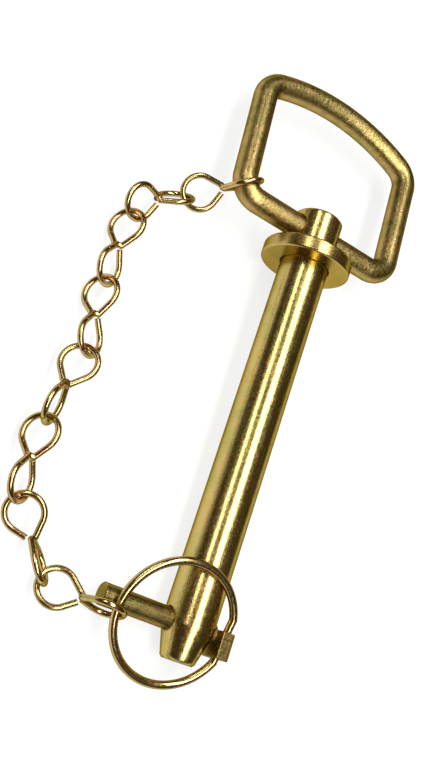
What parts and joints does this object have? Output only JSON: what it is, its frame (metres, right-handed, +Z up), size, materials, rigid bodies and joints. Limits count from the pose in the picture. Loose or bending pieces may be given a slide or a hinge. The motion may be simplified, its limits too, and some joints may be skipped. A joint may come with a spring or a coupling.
{
  "type": "hitch pin",
  "caption": "Hitch pin with a swinging bent-rod handle, a pressed-on collar, and a linch pin with snap ring on a wire link chain.",
  "frame": {"origin": "centre of the collar's underside on the bar's axis; the pin lies on its side as on a floor", "axes": "+X along the floor towards the bar's tip, +Z up, +Y across, so the linch pin's rod lies along Y and its free end points to -Y"},
  "size_m": [0.2448, 0.1231, 0.0356],
  "materials": {
    "zinc": "yellow zinc plating, bright",
    "zinc_dark": "yellow zinc plating, mottled olive"
  },
  "bodies": {
    "pin": {"pin_bar": "zinc", "collar": "zinc"},
    "handle": {"handle": "zinc_dark"},
    "linchpin": {"linchpin": "zinc_dark"},
    "snap_ring": {"snap_ring": "zinc"},
    "link_1": {"link_1": "zinc"},
    "link_2": {"link_2": "zinc"},
    "link_3": {"link_3": "zinc"},
    "link_4": {"link_4": "zinc"},
    "link_5": {"link_5": "zinc"},
    "link_6": {"link_6": "zinc"},
    "link_7": {"link_7": "zinc"},
    "link_8": {"link_8": "zinc"}
  },
  "joints": [
    {"name": "handle_swing", "type": "hinge", "parent": "pin", "child": "handle", "pos_m": [-0.01403, 0, 0.0008], "axis": [0, 1, 0], "range_deg": [-159, 173]},
    {"name": "linchpin_slide", "type": "slide", "parent": "pin", "child": "linchpin", "axis": [0, 1, 0], "range_m": [0, 0.08]},
    {"name": "ring_swing", "type": "hinge", "parent": "linchpin", "child": "snap_ring", "pos_m": [0.14368, 0.01202, -0.00263], "axis": [-0.9431, 0, 0.3326], "range_deg": [0, 150]},
    {"name": "link_1_swing", "type": "hinge", "parent": "handle", "child": "link_1", "pos_m": [-0.01802, -0.03518, 0.00054], "axis": [-0.8644, -0.4996, -0.0563], "range_deg": [-97, 97]},
    {"name": "link_2_swing", "type": "hinge", "parent": "link_1", "child": "link_2", "pos_m": [-0.00649, -0.05258, -0.01178], "axis": [0.7836, 0.6183, -0.0606], "range_deg": [-97, 97]},
    {"name": "link_3_swing", "type": "hinge", "parent": "link_2", "child": "link_3", "pos_m": [0.01302, -0.07018, -0.00953], "axis": [-0.0165, -0.8743, 0.4852], "range_deg": [-97, 97]},
    {"name": "link_4_swing", "type": "hinge", "parent": "link_3", "child": "link_4", "pos_m": [0.04108, -0.07112, -0.01056], "axis": [-0.0139, 0.7897, -0.6134], "range_deg": [-97, 97]},
    {"name": "link_8_swing", "type": "hinge", "parent": "snap_ring", "child": "link_8", "pos_m": [0.14691, -0.02999, -0.00376], "axis": [-0.9314, -0.1569, 0.3284], "range_deg": [-46.5, 46.5]},
    {"name": "link_7_swing", "type": "hinge", "parent": "link_8", "child": "link_7", "pos_m": [0.14488, -0.05624, -0.01238], "axis": [-0.9836, 0.1204, -0.1344], "range_deg": [-30.5, 91.5]},
    {"name": "link_6_swing", "type": "hinge", "parent": "link_7", "child": "link_6", "pos_m": [0.12179, -0.07351, -0.00959], "axis": [0.5271, -0.684, -0.5043], "range_deg": [-97, 97]},
    {"name": "link_5_swing", "type": "hinge", "parent": "link_6", "child": "link_5", "pos_m": [0.09427, -0.07434, -0.00829], "axis": [-0.0144, 0.6557, 0.7548], "range_deg": [-97, 97]}
  ],
  "couplings": [
    {"joint": "ring_swing", "follows": "linchpin_slide", "rad_per_m": 32.725}
  ]
}
